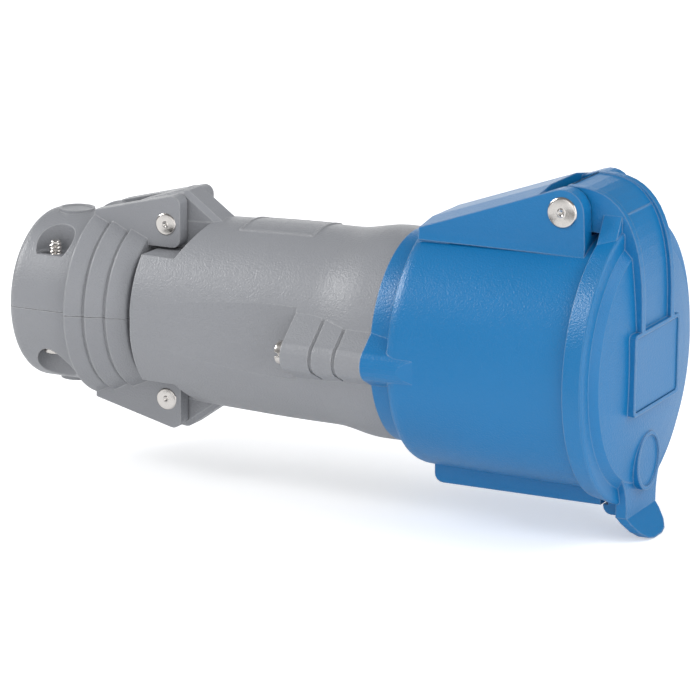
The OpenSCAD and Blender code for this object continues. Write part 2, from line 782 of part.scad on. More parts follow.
// The upper jaw: half of the tail and collar, two ears and two screw pockets
module jaw_shell() {
    difference() {
        union() {
            intersection() {
                union() { tail(); collar(); }
                block([-over, -collar_r - over, seam_gap], [rim_x, collar_r + over, collar_r + over]);
            }
            both_sides() side_slab(ear_outline(), ear_slot / 2, ear_span / 2);
            // Plain raised disc
            bar_z(disc_x, 0, tail_r - disc_rim, tail_r + disc_rise, disc_r);
        }
        // Slightly sunk face of the disc
        bar_z(disc_x, 0, tail_r + disc_rise / 2, tail_r + over, disc_r - disc_rim);
        // Cable entry, grip ridges and the room for the handle's barrel
        lathe(concat([[-over, 0], [-over, ridge_r]],
                     [for (i = [0:ridge_count - 1]) for (p = ridge_shares)
                         [(i + p[0]) * ridge_pitch, p[1]]],
                     [[barrel_x - 2 * over, entry_r], [barrel_x - over, barrel_r + 2 * move_gap],
                      [rim_x + over, barrel_r + 2 * move_gap], [rim_x + over, 0]]));
        // Room for the round lug
        bar_y(jaw_pin_x, jaw_pin_z, -ear_slot / 2, ear_slot / 2, lug_round_r + 2 * move_gap);
        bar_y(jaw_pin_x, jaw_pin_z, -ear_span, ear_span, jaw_pin_r + pin_gap);
    }
}

module upper_jaw() {
    color(grey) difference() {
        jaw_shell();
        both_sides() {
            bar_z(clamp_screw_x, clamp_screw_y, upper_floor_z, tail_r + over, pocket_r);
            // The hole is drawn out towards the cable end, where the screw leans as the jaws open
            bar_z(clamp_screw_x, clamp_screw_y, -over, tail_r, clamp_screw_r + fit_gap);
            bar_z(clamp_screw_x - clamp_slot, clamp_screw_y, -over, tail_r, clamp_screw_r + fit_gap);
            block([clamp_screw_x - clamp_slot, clamp_screw_y - clamp_screw_r - fit_gap, -over],
                  [clamp_screw_x, clamp_screw_y + clamp_screw_r + fit_gap, tail_r]);
        }
    }
}

module lower_jaw() {
    color(grey) difference() {
        mirror([0, 0, 1]) jaw_shell();
        both_sides() {
            bar_z(clamp_screw_x, clamp_screw_y, -tail_r - over, -lower_floor_z, pocket_r);
            bar_z(clamp_screw_x, clamp_screw_y, -tail_r, over, clamp_screw_r + fit_gap);
        }
    }
}

// A jaw pin with a dished head on each side
module jaw_pin() {
    bar_y(jaw_pin_x, jaw_pin_z, -ear_span / 2, ear_span / 2, jaw_pin_r);
    both_sides() translate([jaw_pin_x, ear_span / 2, jaw_pin_z]) rotate([-90, 0, 0])
        dished_head(jaw_head_r, jaw_head_h);
}

module upper_jaw_pin() { color(nickel) jaw_pin(); }
module lower_jaw_pin() { color(nickel) mirror([0, 0, 1]) jaw_pin(); }

module clamp_screws() {
    color(nickel) both_sides() {
        bar_z(clamp_screw_x, clamp_screw_y, -lower_floor_z - over, clamp_tip_z - clamp_tip_r, clamp_screw_r);
        translate([clamp_screw_x, clamp_screw_y, clamp_tip_z - clamp_tip_r])
            cylinder(h = clamp_tip_r, r1 = clamp_screw_r, r2 = clamp_tip_r);
        translate([clamp_screw_x, clamp_screw_y, -lower_floor_z]) mirror([0, 0, 1])
            dished_head(clamp_head_r, clamp_head_h);
    }
}

// Dome height over the shoulder at a distance r from the axis
function dome_at(r) = dome_x + dome_rise * (1 - pow(r / shoulder_in_r, 2));

module lid_shell() {
    steps = 6;
    lathe(concat(
        [[lid_wall_x, lid_bore_r], [lid_wall_x, lid_r - lid_draft]],
        arc([lid_face_x - lid_edge_r, lid_r - lid_edge_r], lid_edge_r, 85, 0, 3),
        [[lid_face_x, shoulder_out_r]],
        [for (i = [0:steps]) let (r = shoulder_in_r * (1 - i / steps)) [dome_at(r), r]],
        [for (i = [0:steps]) let (r = (gasket_in_r - over) * i / steps) [dome_at(r) - lid_wall, r]],
        [[gasket_x + gasket_h, gasket_in_r - over], [gasket_x + gasket_h, lid_bore_r]]));
}

// Outer curve of the hinge arm: a rounded quarter from the hinge down to the label
function arm_curve(a, b) = [for (i = [0:arm_steps]) let (t = 90 * i / arm_steps)
    [lid_pin_x - arm_back + a * pow(sin(t), arm_bulge_share), arm_foot_z + b * pow(cos(t), arm_bulge_share)]];

arm_run = arm_foot_x - lid_pin_x + arm_back;
arm_rise = lid_pin_z + arm_top - arm_foot_z;

module hinge_arm() {
    inside_x = lid_face_x - lid_wall / 3;
    difference() {
        side_slab(concat(arm_curve(arm_run, arm_rise),
                         [[dome_top_x - lid_wall / 2, arm_foot_z], [inside_x, shoulder_in_r],
                          [inside_x, lid_bore_r + fit_gap], [lid_wall_x, lid_bore_r + fit_gap]],
                         arc([lid_pin_x, lid_pin_z], arm_knuckle_r, 280, 100, 8)),
                  -arm_w / 2, arm_w / 2);
        // Channel between the two rails, deepening towards the label
        side_slab(concat(arm_curve(arm_run - arm_channel, arm_rise - dish_sink),
                         [[arm_foot_x + over, arm_foot_z], [arm_foot_x + over, 2 * lid_pin_z],
                          [lid_pin_x - arm_back, 2 * lid_pin_z]]),
                  arm_rail_w - arm_w / 2, arm_w / 2 - arm_rail_w);
        // Room for the spring, open to the back and below
        half = arm_w / 2 - arm_wall;
        bar_y(lid_pin_x, lid_pin_z, -half, half, spring_room_r);
        block([lid_pin_x - 2 * arm_knuckle_r, -half, lid_pin_z - 2 * arm_knuckle_r],
              [lid_pin_x, half, lid_pin_z + spring_room_r]);
        block([lid_pin_x - over, -half, lid_pin_z - 2 * arm_knuckle_r],
              [lid_pin_x + spring_room_r, half, lid_pin_z]);
        bar_y(lid_pin_x, lid_pin_z, -arm_w, arm_w, lid_pin_r + pin_gap);
    }
}

// Webs that fill the corners between the arm's sides and the lid's side wall
module arm_webs() {
    foot_y = arm_w / 2 + web_w;
    foot_z = sqrt(pow(lid_r - lid_draft, 2) - pow(foot_y, 2)) - fairing_sink;
    end_slab([[-foot_y, foot_z], [-foot_y, foot_z - lid_edge_r], [foot_y, foot_z - lid_edge_r],
              [foot_y, foot_z], [arm_w / 2, web_z], [-arm_w / 2, web_z]],
             lid_wall_x, lid_face_x - lid_edge_r);
}

// Neck under the lid with concave sides, the tab bent forward from it, and the nose behind it
module neck_and_tab() {
    flare_y = tab_w / 2 + neck_flare_r;
    tip_z = neck_z - tab_drop;
    side = arc([flare_y, neck_flare_z], neck_flare_r, 180, 180 - neck_flare_angle, 6);
    last = len(side) - 1;
    end_slab(concat([[-tab_w / 2, neck_z], [tab_w / 2, neck_z]], side,
                    [for (i = [0:last]) [-side[last - i][0], side[last - i][1]]]),
             neck_x - neck_thick, neck_x);
    intersection() {
        side_slab([[neck_x - neck_thick, neck_z + over], [neck_x, neck_z + over], [neck_x, neck_z],
                   [neck_x + tab_push, tip_z], [neck_x + tab_push - neck_thick, tip_z],
                   [neck_x - neck_thick, neck_z]], -tab_w, tab_w);
        end_slab(round_box([0, tip_z + tab_w / 2], tab_w, tab_w, tab_round_r),
                 lid_wall_x, neck_x + tab_push + over);
    }
    // The nose reaches back under the keyway rib
    side_slab(concat([[neck_x - over, -lid_r + lid_draft], [neck_x - over, -nose_z]],
                     arc([nose_x + nose_r, nose_r - nose_z], nose_r, 270, 180, 4),
                     [[nose_x, -key_rib_z - pocket_gap], [lid_wall_x, -key_rib_z - pocket_gap],
                      [lid_wall_x, -lid_r + lid_draft]]), -nose_w / 2, nose_w / 2);
}

module lid() {
    color(blue) difference() {
        union() {
            lid_shell();
            hinge_arm();
            difference() {
                arm_webs();
                bar_x(lid_wall_x - over, lid_face_x + over, lid_bore_r);
            }
            neck_and_tab();
            // Frame of the label plate
            end_slab(round_box([0, label_z], label_w, label_h, label_corner_r),
                     dome_top_x - lid_wall / 2, label_face_x);
            // Plain round disc with a rim
            translate([0, 0, badge_z]) bar_x(neck_x - lid_wall / 2, badge_x, badge_r);
        }
        end_slab(round_box([0, label_z], label_w - 2 * label_rim, label_h - 2 * label_rim,
                           label_corner_r - label_lip),
                 label_face_x - label_lip - label_thick, label_face_x + over);
        translate([0, 0, badge_z]) bar_x(badge_x - badge_sink, badge_x + over, badge_r - badge_rim);
    }
}

// Flat rubber ring inside the lid
module lid_gasket() {
    color(black) lathe([[gasket_x, gasket_in_r], [gasket_x + gasket_h, gasket_in_r],
                        [gasket_x + gasket_h, lid_bore_r - fit_gap], [gasket_x, lid_bore_r - fit_gap]]);
}

module label_plate() {
    inset = label_rim + fit_gap;
    color(blue) end_slab(round_box([0, label_z], label_w - 2 * inset, label_h - 2 * inset,
                                   label_corner_r - label_lip - fit_gap / 2),
                         label_face_x - label_lip - label_thick, label_face_x - label_lip);
}

module lid_pin() {
    color(nickel) {
        bar_y(lid_pin_x, lid_pin_z, -fairing_w / 2, fairing_w / 2, lid_pin_r);
        both_sides() translate([lid_pin_x, fairing_w / 2, lid_pin_z]) rotate([-90, 0, 0])
            dished_head(rivet_head_r, rivet_head_h);
    }
}

// Torsion spring on the hinge pin, its close turns drawn as one ridged sleeve
module lid_spring() {
    half = arm_w / 2 - arm_wall - move_gap;
    pitch = 2 * half / spring_turns;
    inner = lid_pin_r + fit_gap;
    color(nickel) translate([lid_pin_x, half, lid_pin_z]) rotate([90, 0, 0]) rotate_extrude()
        polygon(concat([[inner, 2 * half], [inner, 0]],
            [for (i = [0:spring_turns - 1]) for (p = turn_shares) [inner + p[1], (i + p[0]) * pitch]],
            [[inner + spring_wire_r, 2 * half]]));
}

handle();
front_housing();
housing_seal();
housing_screws();
contact_carrier();
phase_contact();
neutral_contact();
earth_contact();
contact_rings();
terminal_screws();
cable_seal();
gland_washer();
upper_jaw();
lower_jaw();
upper_jaw_pin();
lower_jaw_pin();
clamp_screws();
lid();
lid_gasket();
label_plate();
lid_pin();
lid_spring();
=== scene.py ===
import math

import bpy
import numpy as np
from mathutils import Matrix, Vector


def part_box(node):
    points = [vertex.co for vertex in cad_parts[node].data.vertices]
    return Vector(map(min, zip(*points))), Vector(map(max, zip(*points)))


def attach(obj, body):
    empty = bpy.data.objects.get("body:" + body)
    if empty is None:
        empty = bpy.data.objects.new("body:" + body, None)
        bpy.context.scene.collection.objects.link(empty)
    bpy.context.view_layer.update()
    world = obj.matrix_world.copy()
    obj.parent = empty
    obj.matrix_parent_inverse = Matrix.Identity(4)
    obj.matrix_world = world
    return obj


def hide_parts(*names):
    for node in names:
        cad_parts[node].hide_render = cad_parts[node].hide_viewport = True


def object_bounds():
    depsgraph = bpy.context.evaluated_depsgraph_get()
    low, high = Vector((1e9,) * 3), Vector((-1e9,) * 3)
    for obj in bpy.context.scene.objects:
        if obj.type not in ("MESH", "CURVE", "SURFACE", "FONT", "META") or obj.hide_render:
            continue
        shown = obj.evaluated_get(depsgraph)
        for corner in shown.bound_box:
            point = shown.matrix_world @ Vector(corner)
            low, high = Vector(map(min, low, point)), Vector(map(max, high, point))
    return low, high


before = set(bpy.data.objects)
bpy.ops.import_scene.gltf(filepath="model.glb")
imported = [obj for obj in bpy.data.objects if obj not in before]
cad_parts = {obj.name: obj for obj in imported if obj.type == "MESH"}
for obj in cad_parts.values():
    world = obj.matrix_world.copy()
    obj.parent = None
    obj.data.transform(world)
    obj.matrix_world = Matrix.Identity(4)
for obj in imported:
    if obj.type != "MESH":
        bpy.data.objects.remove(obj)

cad_low, cad_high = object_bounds()


# Handle: the tapered grip, one injection moulding in light grey nylon. The mould is
# spark-eroded, which leaves a fine satin grain, and every outer edge gets a pale painted highlight.
GREY_NYLON = (0.265, 0.270, 0.286)


def moulded_plastic(name, colour, roughness, grain, edge, edge_highlight=0.36):
    """Moulded plastic: a grain of fine noise with a height of `grain`, a slow cloud of noise that
    moves the gloss and the shade by a few per cent, and edges rounded by `edge` in the shading.
    Where the rounded normal leaves the flat one, a painted highlight makes the edge paler by the share
    `edge_highlight`."""
    clouds_per_metre, grains_per_metre = 45.0, 2000.0
    darkest, palest, gloss_spread = 0.94, 1.05, 0.05
    # Painted edge highlight: where it starts and where it is full, and the shares of the colour it keeps
    # and adds.
    highlight_starts_at, highlight_full_at = 0.995, 0.90
    highlight_keeps, highlight_adds = 0.55, 0.35
    material = bpy.data.materials.new(name)
    material.use_nodes = True
    tree = material.node_tree
    shader = tree.nodes["Principled BSDF"]
    place = tree.nodes.new("ShaderNodeTexCoord")

    clouds = tree.nodes.new("ShaderNodeTexNoise")
    clouds.inputs["Scale"].default_value = clouds_per_metre
    clouds.inputs["Detail"].default_value = 4.0
    tree.links.new(place.outputs["Object"], clouds.inputs["Vector"])
    shade = tree.nodes.new("ShaderNodeMix")
    shade.data_type = "RGBA"
    shade.inputs[6].default_value = (*[c * darkest for c in colour], 1.0)
    shade.inputs[7].default_value = (*[min(1.0, c * palest) for c in colour], 1.0)
    tree.links.new(clouds.outputs["Fac"], shade.inputs[0])
    gloss = tree.nodes.new("ShaderNodeMapRange")
    gloss.inputs["To Min"].default_value = roughness - gloss_spread
    gloss.inputs["To Max"].default_value = roughness + gloss_spread
    tree.links.new(clouds.outputs["Fac"], gloss.inputs["Value"])
    tree.links.new(gloss.outputs["Result"], shader.inputs["Roughness"])

    rounded = tree.nodes.new("ShaderNodeBevel")
    rounded.samples = 6
    rounded.inputs["Radius"].default_value = edge
    flat = tree.nodes.new("ShaderNodeNewGeometry")
    turn = tree.nodes.new("ShaderNodeVectorMath")
    turn.operation = "DOT_PRODUCT"
    tree.links.new(rounded.outputs["Normal"], turn.inputs[0])
    tree.links.new(flat.outputs["Normal"], turn.inputs[1])
    # Painted edge highlight: the base colour is mixed paler where the rounded normal turns away from the
    # flat one.
    highlight_mask = tree.nodes.new("ShaderNodeMapRange")
    highlight_mask.inputs["From Min"].default_value = highlight_starts_at
    highlight_mask.inputs["From Max"].default_value = highlight_full_at
    highlight_mask.inputs["To Max"].default_value = edge_highlight
    tree.links.new(turn.outputs["Value"], highlight_mask.inputs["Value"])
    highlighted = tree.nodes.new("ShaderNodeMix")
    highlighted.data_type = "RGBA"
    highlighted.inputs[7].default_value = (*[highlight_keeps * c + highlight_adds for c in colour], 1.0)
    tree.links.new(highlight_mask.outputs["Result"], highlighted.inputs[0])
    tree.links.new(shade.outputs[2], highlighted.inputs[6])
    tree.links.new(highlighted.outputs[2], shader.inputs["Base Color"])

    grit = tree.nodes.new("ShaderNodeTexNoise")
    grit.inputs["Scale"].default_value = grains_per_metre
    grit.inputs["Detail"].default_value = 2.0
    tree.links.new(place.outputs["Object"], grit.inputs["Vector"])
    bump = tree.nodes.new("ShaderNodeBump")
    bump.inputs["Strength"].default_value = 0.8
    bump.inputs["Distance"].default_value = grain
    tree.links.new(grit.outputs["Fac"], bump.inputs["Height"])
    tree.links.new(rounded.outputs["Normal"], bump.inputs["Normal"])
    tree.links.new(bump.outputs["Normal"], shader.inputs["Normal"])
    shader.inputs["IOR"].default_value = 1.47
    return material


def dress(node, material):
    """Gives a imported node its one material."""
    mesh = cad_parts[node].data
    mesh.materials.clear()
    mesh.materials.append(material)


# The grey nylon gets a stronger painted edge highlight than the blue.
grey_nylon = moulded_plastic("grey_nylon", GREY_NYLON, roughness=0.36, grain=0.00022, edge=0.0005,
                             edge_highlight=0.55)
dress("handle", grey_nylon)


# Front housing: the blue shell screwed to the handle, one moulding with the hinge fairing,
# the two cheeks and the keyway rib. The same nylon, coloured through, with a little more gloss.
BLUE_NYLON = (0.004, 0.162, 0.400)
blue_nylon = moulded_plastic("blue_nylon", BLUE_NYLON, roughness=0.33, grain=0.00015, edge=0.0005)
dress("front_housing", blue_nylon)


# Seal ring between the two shells: black nitrile rubber, squeezed in a groove of the spigot
# and hidden once the housing is screwed on.
def rubber(name, colour):
    """Matt rubber with a fine noise in its surface."""
    material = bpy.data.materials.new(name)
    material.use_nodes = True
    tree = material.node_tree
    shader = tree.nodes["Principled BSDF"]
    shader.inputs["Base Color"].default_value = (*colour, 1.0)
    shader.inputs["Roughness"].default_value = 0.7
    place = tree.nodes.new("ShaderNodeTexCoord")
    bloom = tree.nodes.new("ShaderNodeTexNoise")
    bloom.inputs["Scale"].default_value = 900.0
    tree.links.new(place.outputs["Object"], bloom.inputs["Vector"])
    bump = tree.nodes.new("ShaderNodeBump")
    bump.inputs["Strength"].default_value = 0.3
    bump.inputs["Distance"].default_value = 0.00005
    tree.links.new(bloom.outputs["Fac"], bump.inputs["Height"])
    tree.links.new(bump.outputs["Normal"], shader.inputs["Normal"])
    return material


BLACK_RUBBER = (0.022, 0.022, 0.024)
black_rubber = rubber("black_rubber", BLACK_RUBBER)
dress("housing_seal", black_rubber)


# Housing screws: two steel screws that pull the front housing on to the handle from behind.
# They are turned with a low slotted crown, their thread is rolled, and they are nickel-plated.
MM = 0.001


def node_box(node):
    """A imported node's lowest and highest corners at rest, in millimetres."""
    low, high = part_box(node)
    return np.array(low) / MM, np.array(high) / MM


def plated_metal(name, colour, roughness, scratch=(1.0, 1.0, 1.0), spun=0.0):
    """Plated or turned metal: the gloss and a faint bump follow a noise stretched by `scratch`. With
    `spun` over 0, fine turning marks run round the piece's middle on Y and draw its gloss into fans."""
    smoothest, roughest = roughness - 0.08, roughness + 0.12
    marks_per_metre, marks_depth = 700.0, 0.00003
    material = bpy.data.materials.new(name)
    material.use_nodes = True
    tree = material.node_tree
    shader = tree.nodes["Principled BSDF"]
    shader.inputs["Base Color"].default_value = (*colour, 1.0)
    shader.inputs["Metallic"].default_value = 1.0
    if spun:
        round_y = tree.nodes.new("ShaderNodeTangent")
        round_y.direction_type = "RADIAL"
        round_y.axis = "Y"
        tree.links.new(round_y.outputs["Tangent"], shader.inputs["Tangent"])
        shader.inputs["Anisotropic"].default_value = spun
    place = tree.nodes.new("ShaderNodeTexCoord")
    stretch = tree.nodes.new("ShaderNodeMapping")
    stretch.inputs["Scale"].default_value = scratch
    tree.links.new(place.outputs["Object"], stretch.inputs["Vector"])
    marks = tree.nodes.new("ShaderNodeTexNoise")
    marks.inputs["Scale"].default_value = marks_per_metre
    marks.inputs["Detail"].default_value = 5.0
    tree.links.new(stretch.outputs["Vector"], marks.inputs["Vector"])
    gloss = tree.nodes.new("ShaderNodeMapRange")
    gloss.inputs["To Min"].default_value = smoothest
    gloss.inputs["To Max"].default_value = roughest
    tree.links.new(marks.outputs["Fac"], gloss.inputs["Value"])
    tree.links.new(gloss.outputs["Result"], shader.inputs["Roughness"])
    bump = tree.nodes.new("ShaderNodeBump")
    bump.inputs["Strength"].default_value = 0.15
    bump.inputs["Distance"].default_value = marks_depth
    tree.links.new(marks.outputs["Fac"], bump.inputs["Height"])
    tree.links.new(bump.outputs["Normal"], shader.inputs["Normal"])
    return material


def closed_tube_faces(rings, n):
    """Faces of a tube whose points come ring by ring, n to a ring, with one more point for each end
    after them: four-sided faces from ring to ring, and a fan of triangles that closes each end."""
    corner = np.arange((rings - 1) * n)
    right = corner - corner % n + (corner + 1) % n
    quads = np.stack([corner, right, right + n, corner + n], -1)
    first = np.arange(n)
    last = first + (rings - 1) * n
    foot, crown = rings * n, rings * n + 1
    fans = np.concatenate([np.stack([np.full(n, foot), (first + 1) % n, first], -1),
                           np.stack([np.full(n, crown), last, last - last % n + (last + 1) % n], -1)])
    return [*quads.tolist(), *fans.tolist()]


def turned_shell(along, radius, place, axis):
    """Ring i, point j stands at the angle 2*pi*j/n, at along[i, j] on the axis and radius[i, j] from it.
    The first and last rings are shrunk to one point each, so the shell is closed at both ends."""
    rings, n = radius.shape
    angle = np.linspace(0.0, 2.0 * math.pi, n, endpoint=False)
    body = np.stack([radius * np.cos(angle), radius * np.sin(angle), along], -1)[1:-1].reshape(-1, 3)
    ends = np.array([[0.0, 0.0, along[0].mean()], [0.0, 0.0, along[-1].mean()]])
    axis_turn = np.array(Vector(axis).to_track_quat("Z", "Y").to_matrix())
    points = np.concatenate([body, ends]) @ axis_turn.T + np.array(place)
    return points, closed_tube_faces(rings - 2, n)


def assemble(name, shells, material, body, *stands_for, sharp=35.0):
    """One piece from several shells, each an array of points and a list of faces. Edges that turn
    by more than `sharp` degrees stay crisp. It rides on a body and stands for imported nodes."""
    points, faces = np.zeros((0, 3)), []
    for shell_points, shell_faces in shells:
        faces += [[corner + len(points) for corner in face] for face in shell_faces]
        points = np.concatenate([points, shell_points])
    mesh = bpy.data.meshes.new(name)
    mesh.from_pydata((points * MM).tolist(), [], faces)
    mesh.polygons.foreach_set("use_smooth", np.ones(len(mesh.polygons), dtype=bool))
    mesh.set_sharp_from_angle(angle=math.radians(sharp))
    mesh.materials.append(material)
    piece = bpy.data.objects.new(name, mesh)
    bpy.context.scene.collection.objects.link(piece)
    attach(piece, body)
    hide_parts(*stands_for)


def smooth_step(t):
    """0 below 0, 1 above 1, and 3t^2 - 2t^3 between."""
    t = np.clip(t, 0.0, 1.0)
    return t * t * (3.0 - 2.0 * t)


def screw_head(head_r, head_h, slot_w, slot_depth, n):
    """Rings of a head from its crown down to its seat: the crown falls with the eighth power of the
    ring's share of the way out, and a slot is pressed in within slot_w / 2 of the middle line."""
    rings, crown_fall, slot_edge, slot_floor = 26, 0.35, 0.12, 0.3
    share = np.concatenate([np.linspace(0.0, 1.0, rings), [1.0]])[:, None]
    angle = np.linspace(0.0, 2.0 * math.pi, n, endpoint=False)[None, :]
    radius = head_r * np.sin(share * math.pi / 2) + 0.0 * angle
    height = head_h * (1.0 - crown_fall * share ** 8) + 0.0 * angle
    height[-1] = 0.0
    side = np.abs(radius * np.sin(angle))
    inside = 1.0 - smooth_step((side - slot_w / 2) / slot_edge)
    height[:-1] -= (inside * np.minimum(slot_depth, height - slot_floor))[:-1]
    return height, radius


def screw(place, axis, head, thread, n=64):
    """A screw along its axis, from its head at the back to its tip: the thread's radius follows a
    triangle wave of the height less the angle's share of one pitch, and fades out at both ends."""
    head_r, head_h, slot_w, slot_depth = head
    length, core_r, crest_r, pitch, plain = thread
    ring_step, thread_end, tip_share, tip_slope = 0.14, 0.2, 0.8, 1.2
    height, radius = screw_head(head_r, head_h, slot_w, slot_depth, n)
    angle = np.linspace(0.0, 1.0, n, endpoint=False)[None, :]
    run = np.linspace(0.01, length, max(8, int(length / ring_step)))[:, None]
    wave = np.abs(((run / pitch - angle) % 1.0) - 0.5) * 2.0
    fade = smooth_step((run - plain) / pitch) * smooth_step((length - thread_end - run) / pitch)
    shank_r = core_r + (crest_r - core_r) * (wave * fade + (run < plain))
    shank_r = np.minimum(shank_r, tip_share * core_r + (length - run) * tip_slope)
    along = np.concatenate([-height, run + 0.0 * angle, np.full((1, n), length)])
    radii = np.concatenate([radius, shank_r, np.zeros((1, n))])
    return turned_shell(along, radii, place, axis)


PLATED_STEEL = (0.66, 0.63, 0.60)
nickel_plate = plated_metal("nickel_plate", PLATED_STEEL, roughness=0.24)
screws_low, screws_high = node_box("housing_screws")
screw_head_r, screw_seat_h, screw_crown = 3.1, 1.9, 0.8
screw_slot_w, screw_slot_depth = 0.9, 1.1
screw_core_r, screw_crest_r, screw_pitch, screw_plain = 1.5, 1.9, 1.4, 16.0
screw_seat_x = screws_low[0] + screw_seat_h
screw_y = screws_high[1] - screw_head_r
screw_z = (screws_low[2] + screws_high[2]) / 2
screw_form = (screw_head_r, screw_seat_h + screw_crown, screw_slot_w, screw_slot_depth)
screw_thread = (screws_high[0] - screw_seat_x, screw_core_r, screw_crest_r, screw_pitch, screw_plain)
assemble("housing_screw_pair",
         [screw((screw_seat_x, side * screw_y, screw_z), (1, 0, 0), screw_form, screw_thread)
          for side in (-1, 1)],
         nickel_plate, "connector", "housing_screws")


# Contact carrier: the insulating insert that holds the three contacts behind the lid,
# moulded in a dark, matt resin and held between the two shells.
DARK_RESIN = (0.045, 0.047, 0.052)
dark_resin = moulded_plastic("dark_resin", DARK_RESIN, roughness=0.5, grain=0.00003, edge=0.0004)
dress("contact_carrier", dark_resin)


# Contacts: turned brass sleeves with slots, their spring rings of plated steel and the
# plated screws that clamp the wires.
TURNED_BRASS = (0.76, 0.56, 0.24)
brass = plated_metal("turned_brass", TURNED_BRASS, roughness=0.3, scratch=(1.0, 6.0, 6.0))
for contact in ("phase_contact", "neutral_contact", "earth_contact"):
    dress(contact, brass)
dress("contact_rings", nickel_plate)
dress("terminal_screws", nickel_plate)


# Cable seal and slip washer: a ribbed sleeve of black rubber and the plastic washer that
# keeps the cable from twisting it.
dress("cable_seal", black_rubber)
dress("gland_washer", dark_resin)


# Cable clamp: two grey jaws hinged on steel pins and closed by two screws, moulded in the
# same grey nylon as the handle.
for jaw in ("upper_jaw", "lower_jaw"):
    dress(jaw, grey_nylon)


# Jaw pins: steel rivets through the ears and the lug. The ends are spun over, which leaves a
# low bright dome with fine turning marks and a small ringed dimple in its middle.
def spun_rivet(place, half_span, shank_r, head_r, head_h, n=72):
    """A rivet along Y. From the middle of a face outwards: a small dimple, a low ring round it, a
    face that falls with the square of the radius, a rounded rim, then the seat and the shank, the
    same at both ends. Heights are shares of the head's height, widths shares of its radius."""
    dome_top, dome_fall = 0.92, 0.32
    ring_rise, ring_at, ring_w = 0.22, 0.22, 0.05
    dimple_depth, dimple_w = 0.45, 0.11
    rim_start, rim_w, rim_fall = 0.88, 0.12, 0.7
    share = np.linspace(0.0, 1.0, 48)
    dome = dome_top - dome_fall * share ** 2
    ring = ring_rise * np.exp(-((share - ring_at) / ring_w) ** 2)
    dimple = dimple_depth * np.exp(-(share / dimple_w) ** 2)
    rim = np.where(share > rim_start, 1.0 - rim_fall * ((share - rim_start) / rim_w) ** 2, 1.0)
    face = head_h * (dome + ring - dimple) * rim
    radius = np.concatenate([share * head_r, [head_r, shank_r]])
    along = np.concatenate([half_span + face, [half_span, half_span]])
    radius = np.repeat(np.concatenate([radius, radius[::-1]])[:, None], n, 1)
    along = np.repeat(np.concatenate([-along, along[::-1]])[:, None], n, 1)
    return turned_shell(along, radius, place, (0, 1, 0))


spun_steel = plated_metal("spun_steel", PLATED_STEEL, roughness=0.14, spun=0.4)
jaw_head_h, jaw_pin_r = 0.5, 2.0
for rivet, node in (("jaw_rivet_upper", "upper_jaw_pin"), ("jaw_rivet_lower", "lower_jaw_pin")):
    rivet_low, rivet_high = node_box(node)
    centre = (rivet_low + rivet_high) / 2
    jaw_head_r = rivet_high[0] - centre[0]
    assemble(rivet, [spun_rivet(centre, rivet_high[1] - jaw_head_h, jaw_pin_r, jaw_head_r, jaw_head_h)],
             spun_steel, "connector", node)


# Clamp screws: two self-tapping steel screws driven up from below, with their tips standing
# in the upper jaw's pockets.
clamp_low, clamp_high = node_box("clamp_screws")
clamp_head_r, clamp_seat_h, clamp_washer_h = 3.6, 3.0, 1.2
clamp_slot_w, clamp_slot_depth = 1.0, 1.5
clamp_core_r, clamp_crest_r, clamp_pitch, clamp_plain = 1.3, 1.75, 0.9, 3.0
clamp_x = (clamp_low[0] + clamp_high[0]) / 2
clamp_y = clamp_high[1] - clamp_head_r
clamp_seat_z = clamp_low[2] + clamp_seat_h
clamp_form = (clamp_head_r, clamp_seat_h + clamp_washer_h, clamp_slot_w, clamp_slot_depth)
clamp_thread = (clamp_high[2] - clamp_seat_z, clamp_core_r, clamp_crest_r, clamp_pitch, clamp_plain)
assemble("clamp_screw_pair",
         [screw((clamp_x, side * clamp_y, clamp_seat_z), (0, 0, 1), clamp_form, clamp_thread)
          for side in (-1, 1)],
         nickel_plate, "lower_jaw", "clamp_screws")


# Lid: the sprung cover in the housing's blue nylon, with a bare label plate in its frame
# and a flat rubber gasket inside.
dress("lid", blue_nylon)
dress("label_plate", blue_nylon)
dress("lid_gasket", black_rubber)


# Lid hinge: a steel rivet through both cheeks and the arm, spun over like the jaw pins,
# with a spring of steel wire wound round it that closes the lid.
hinge_low, hinge_high = node_box("lid_pin")
hinge = (hinge_low + hinge_high) / 2
hinge_head_r, hinge_head_h, hinge_pin_r = hinge_high[0] - hinge[0], 0.7, 2.4
hinge_half_span = hinge_high[1] - hinge_head_h
assemble("lid_rivet", [spun_rivet(hinge, hinge_half_span, hinge_pin_r, hinge_head_r, hinge_head_h)],
         spun_steel, "connector", "lid_pin")


def wound_wire(turns, coil_r, half, wire_r, n=10):
    """A tube of radius wire_r along a helix about Y: the path's angle grows evenly with y. Each ring
    stands across the path, in the outward direction and in the path's cross product with it."""
    rings_per_turn = 28
    t = np.linspace(0.0, 1.0, int(turns * rings_per_turn))
    angle = t * turns * 2.0 * math.pi
    outward = np.stack([np.cos(angle), np.zeros_like(t), np.sin(angle)], -1)
    path = outward * coil_r + np.stack([0 * t, (2 * t - 1) * half, 0 * t], -1)
    ahead = np.gradient(path, axis=0)
    ahead /= np.linalg.norm(ahead, axis=1, keepdims=True)
    across = np.cross(ahead, outward)
    turn = np.linspace(0.0, 2.0 * math.pi, n, endpoint=False)
    rings = path[:, None] + wire_r * (np.cos(turn)[None, :, None] * outward[:, None]
                                      + np.sin(turn)[None, :, None] * across[:, None])
    points = np.concatenate([rings.reshape(-1, 3), path[[0, -1]]]) + hinge
    return points, closed_tube_faces(len(t), n)


spring_turns, spring_wire_r, spring_gap = 11, 0.6, 0.15
spring_half = node_box("lid_spring")[1][1] - spring_wire_r
spring_coil_r = hinge_pin_r + spring_gap + spring_wire_r
assemble("lid_coil_spring", [wound_wire(spring_turns, spring_coil_r, spring_half, spring_wire_r)],
         nickel_plate, "lid", "lid_spring")


